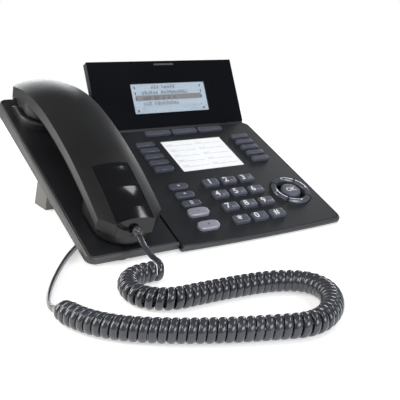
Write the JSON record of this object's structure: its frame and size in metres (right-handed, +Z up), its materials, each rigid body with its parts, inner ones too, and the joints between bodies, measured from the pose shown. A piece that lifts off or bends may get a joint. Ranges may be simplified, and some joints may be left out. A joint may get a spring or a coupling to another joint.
{
  "type": "desk telephone",
  "caption": "Desk phone with a corded handset on a cradle, sloped keypad, round navigation ring, directory card, tilting display flap and fold-down stand.",
  "frame": {"origin": "on the desk surface, under the middle of the phone's body", "axes": "+X to the user's right, +Y away from the user, +Z up"},
  "size_m": [0.2741, 0.3599, 0.1287],
  "materials": {
    "housing": "fine textured charcoal moulding",
    "plate": "satin black moulding",
    "handset": "satin black moulding",
    "key_grey": "slate grey, satin",
    "silver_key": "pale silver paint, satin",
    "nav_chrome": "dark plated",
    "gloss_black": "high gloss",
    "lens": "clear",
    "screen": "pale blue grey liquid crystal",
    "lamp": "smoked",
    "mat_rubber": "matte",
    "board": "solder mask",
    "paper": "matte paper",
    "clear_plastic": "clear",
    "socket_plastic": "matte",
    "speaker_cone": "matte",
    "screw_steel": "zinc plated",
    "foot_rubber": "matte",
    "cord_plastic": "gloss",
    "plug_plastic": "clear amber",
    "stand_grey": "satin grey",
    "grommet": "satin"
  },
  "bodies": {
    "base": {"lower_housing": "housing", "cradle_housing": "plate", "key_plate": "plate", "key_mat": "mat_rubber", "circuit_board": "board", "directory_card": "paper", "card_window": "clear_plastic", "sockets": "socket_plastic", "base_speaker": "speaker_cone", "housing_screws": "screw_steel", "rubber_feet": "foot_rubber", "cord_handset_lead": "cord_plastic", "cord_coil": "cord_plastic", "cord_base_lead": "cord_plastic", "cord_plug": "plug_plastic"},
    "display_flap": {"flap_cover": "housing", "flap_front_panel": "gloss_black", "screen_module": "screen", "screen_lens": "lens", "message_lamp": "lamp"},
    "stand": {"stand_foot": "stand_grey"},
    "handset": {"handset_lower_shell": "handset", "handset_upper_shell": "handset", "mouthpiece_insert": "gloss_black", "earpiece_speaker": "speaker_cone", "microphone": "speaker_cone", "cord_grommet": "grommet"},
    "hook_switch": {"hook_switch": "key_grey"},
    "nav_ring": {"nav_ring": "nav_chrome"},
    "ok_key": {"ok_key": "key_grey"},
    "dial_key_0": {"dial_key_0": "key_grey"},
    "dial_key_1": {"dial_key_1": "key_grey"},
    "dial_key_2": {"dial_key_2": "key_grey"},
    "dial_key_3": {"dial_key_3": "key_grey"},
    "dial_key_4": {"dial_key_4": "key_grey"},
    "dial_key_5": {"dial_key_5": "key_grey"},
    "dial_key_6": {"dial_key_6": "key_grey"},
    "dial_key_7": {"dial_key_7": "key_grey"},
    "dial_key_8": {"dial_key_8": "key_grey"},
    "dial_key_9": {"dial_key_9": "key_grey"},
    "dial_key_hash": {"dial_key_hash": "key_grey"},
    "dial_key_star": {"dial_key_star": "key_grey"},
    "line_key_left_1": {"line_key_left_1": "key_grey"},
    "line_key_left_2": {"line_key_left_2": "key_grey"},
    "line_key_left_3": {"line_key_left_3": "key_grey"},
    "line_key_left_4": {"line_key_left_4": "key_grey"},
    "line_key_left_5": {"line_key_left_5": "key_grey"},
    "line_key_right_1": {"line_key_right_1": "key_grey"},
    "line_key_right_2": {"line_key_right_2": "key_grey"},
    "line_key_right_3": {"line_key_right_3": "key_grey"},
    "line_key_right_4": {"line_key_right_4": "key_grey"},
    "line_key_right_5": {"line_key_right_5": "key_grey"},
    "menu_key_1": {"menu_key_1": "key_grey"},
    "menu_key_2": {"menu_key_2": "key_grey"},
    "menu_key_3": {"menu_key_3": "key_grey"},
    "silver_key_1": {"silver_key_1": "silver_key"},
    "silver_key_2": {"silver_key_2": "silver_key"},
    "soft_key_1": {"soft_key_1": "key_grey"},
    "soft_key_2": {"soft_key_2": "key_grey"},
    "soft_key_3": {"soft_key_3": "key_grey"}
  },
  "joints": [
    {"name": "flap_tilt", "type": "hinge", "parent": "base", "child": "display_flap", "pos_m": [0.0344, 0.04528, 0.0676], "axis": [1, 0, 0], "range_deg": [-42.8, 12]},
    {"name": "stand_fold", "type": "hinge", "parent": "base", "child": "stand", "pos_m": [0, 0.05734, 0.0384], "axis": [1, 0, 0], "range_deg": [-88, 0]},
    {"name": "handset_lift", "type": "slide", "parent": "base", "child": "handset", "axis": [0, -0.4226, 0.9063], "range_m": [0, 0.12]},
    {"name": "hook_rise", "type": "slide", "parent": "base", "child": "hook_switch", "axis": [0, -0.4226, 0.9063], "range_m": [0, 0.003]},
    {"name": "nav_rock", "type": "hinge", "parent": "base", "child": "nav_ring", "pos_m": [0.0869, -0.06207, 0.02168], "axis": [1, 0, 0], "range_deg": [-3, 3], "stiffness_Nm_per_rad": 0.6},
    {"name": "ok_press", "type": "slide", "parent": "base", "child": "ok_key", "axis": [0, 0.4226, -0.9063], "range_m": [0, 0.0013], "stiffness_N_per_m": 400, "springref_m": -0.0005},
    {"name": "dial_press_0", "type": "slide", "parent": "base", "child": "dial_key_0", "axis": [0, 0.4226, -0.9063], "range_m": [0, 0.0013], "stiffness_N_per_m": 400, "springref_m": -0.0005},
    {"name": "dial_press_1", "type": "slide", "parent": "base", "child": "dial_key_1", "axis": [0, 0.4226, -0.9063], "range_m": [0, 0.0013], "stiffness_N_per_m": 400, "springref_m": -0.0005},
    {"name": "dial_press_2", "type": "slide", "parent": "base", "child": "dial_key_2", "axis": [0, 0.4226, -0.9063], "range_m": [0, 0.0013], "stiffness_N_per_m": 400, "springref_m": -0.0005},
    {"name": "dial_press_3", "type": "slide", "parent": "base", "child": "dial_key_3", "axis": [0, 0.4226, -0.9063], "range_m": [0, 0.0013], "stiffness_N_per_m": 400, "springref_m": -0.0005},
    {"name": "dial_press_4", "type": "slide", "parent": "base", "child": "dial_key_4", "axis": [0, 0.4226, -0.9063], "range_m": [0, 0.0013], "stiffness_N_per_m": 400, "springref_m": -0.0005},
    {"name": "dial_press_5", "type": "slide", "parent": "base", "child": "dial_key_5", "axis": [0, 0.4226, -0.9063], "range_m": [0, 0.0013], "stiffness_N_per_m": 400, "springref_m": -0.0005},
    {"name": "dial_press_6", "type": "slide", "parent": "base", "child": "dial_key_6", "axis": [0, 0.4226, -0.9063], "range_m": [0, 0.0013], "stiffness_N_per_m": 400, "springref_m": -0.0005},
    {"name": "dial_press_7", "type": "slide", "parent": "base", "child": "dial_key_7", "axis": [0, 0.4226, -0.9063], "range_m": [0, 0.0013], "stiffness_N_per_m": 400, "springref_m": -0.0005},
    {"name": "dial_press_8", "type": "slide", "parent": "base", "child": "dial_key_8", "axis": [0, 0.4226, -0.9063], "range_m": [0, 0.0013], "stiffness_N_per_m": 400, "springref_m": -0.0005},
    {"name": "dial_press_9", "type": "slide", "parent": "base", "child": "dial_key_9", "axis": [0, 0.4226, -0.9063], "range_m": [0, 0.0013], "stiffness_N_per_m": 400, "springref_m": -0.0005},
    {"name": "dial_press_hash", "type": "slide", "parent": "base", "child": "dial_key_hash", "axis": [0, 0.4226, -0.9063], "range_m": [0, 0.0013], "stiffness_N_per_m": 400, "springref_m": -0.0005},
    {"name": "dial_press_star", "type": "slide", "parent": "base", "child": "dial_key_star", "axis": [0, 0.4226, -0.9063], "range_m": [0, 0.0013], "stiffness_N_per_m": 400, "springref_m": -0.0005},
    {"name": "line_press_left_1", "type": "slide", "parent": "base", "child": "line_key_left_1", "axis": [0, 0.4226, -0.9063], "range_m": [0, 0.0013], "stiffness_N_per_m": 400, "springref_m": -0.0005},
    {"name": "line_press_left_2", "type": "slide", "parent": "base", "child": "line_key_left_2", "axis": [0, 0.4226, -0.9063], "range_m": [0, 0.0013], "stiffness_N_per_m": 400, "springref_m": -0.0005},
    {"name": "line_press_left_3", "type": "slide", "parent": "base", "child": "line_key_left_3", "axis": [0, 0.4226, -0.9063], "range_m": [0, 0.0013], "stiffness_N_per_m": 400, "springref_m": -0.0005},
    {"name": "line_press_left_4", "type": "slide", "parent": "base", "child": "line_key_left_4", "axis": [0, 0.4226, -0.9063], "range_m": [0, 0.0013], "stiffness_N_per_m": 400, "springref_m": -0.0005},
    {"name": "line_press_left_5", "type": "slide", "parent": "base", "child": "line_key_left_5", "axis": [0, 0.4226, -0.9063], "range_m": [0, 0.0013], "stiffness_N_per_m": 400, "springref_m": -0.0005},
    {"name": "line_press_right_1", "type": "slide", "parent": "base", "child": "line_key_right_1", "axis": [0, 0.4226, -0.9063], "range_m": [0, 0.0013], "stiffness_N_per_m": 400, "springref_m": -0.0005},
    {"name": "line_press_right_2", "type": "slide", "parent": "base", "child": "line_key_right_2", "axis": [0, 0.4226, -0.9063], "range_m": [0, 0.0013], "stiffness_N_per_m": 400, "springref_m": -0.0005},
    {"name": "line_press_right_3", "type": "slide", "parent": "base", "child": "line_key_right_3", "axis": [0, 0.4226, -0.9063], "range_m": [0, 0.0013], "stiffness_N_per_m": 400, "springref_m": -0.0005},
    {"name": "line_press_right_4", "type": "slide", "parent": "base", "child": "line_key_right_4", "axis": [0, 0.4226, -0.9063], "range_m": [0, 0.0013], "stiffness_N_per_m": 400, "springref_m": -0.0005},
    {"name": "line_press_right_5", "type": "slide", "parent": "base", "child": "line_key_right_5", "axis": [0, 0.4226, -0.9063], "range_m": [0, 0.0013], "stiffness_N_per_m": 400, "springref_m": -0.0005},
    {"name": "menu_press_1", "type": "slide", "parent": "base", "child": "menu_key_1", "axis": [0, 0.4226, -0.9063], "range_m": [0, 0.0013], "stiffness_N_per_m": 400, "springref_m": -0.0005},
    {"name": "menu_press_2", "type": "slide", "parent": "base", "child": "menu_key_2", "axis": [0, 0.4226, -0.9063], "range_m": [0, 0.0013], "stiffness_N_per_m": 400, "springref_m": -0.0005},
    {"name": "menu_press_3", "type": "slide", "parent": "base", "child": "menu_key_3", "axis": [0, 0.4226, -0.9063], "range_m": [0, 0.0013], "stiffness_N_per_m": 400, "springref_m": -0.0005},
    {"name": "silver_press_1", "type": "slide", "parent": "base", "child": "silver_key_1", "axis": [0, 0.4226, -0.9063], "range_m": [0, 0.0013], "stiffness_N_per_m": 400, "springref_m": -0.0005},
    {"name": "silver_press_2", "type": "slide", "parent": "base", "child": "silver_key_2", "axis": [0, 0.4226, -0.9063], "range_m": [0, 0.0013], "stiffness_N_per_m": 400, "springref_m": -0.0005},
    {"name": "soft_press_1", "type": "slide", "parent": "base", "child": "soft_key_1", "axis": [0, 0.4226, -0.9063], "range_m": [0, 0.0013], "stiffness_N_per_m": 400, "springref_m": -0.0005},
    {"name": "soft_press_2", "type": "slide", "parent": "base", "child": "soft_key_2", "axis": [0, 0.4226, -0.9063], "range_m": [0, 0.0013], "stiffness_N_per_m": 400, "springref_m": -0.0005},
    {"name": "soft_press_3", "type": "slide", "parent": "base", "child": "soft_key_3", "axis": [0, 0.4226, -0.9063], "range_m": [0, 0.0013], "stiffness_N_per_m": 400, "springref_m": -0.0005}
  ],
  "couplings": [
    {"joint": "hook_rise", "follows": "handset_lift", "ratio": 0.025}
  ]
}
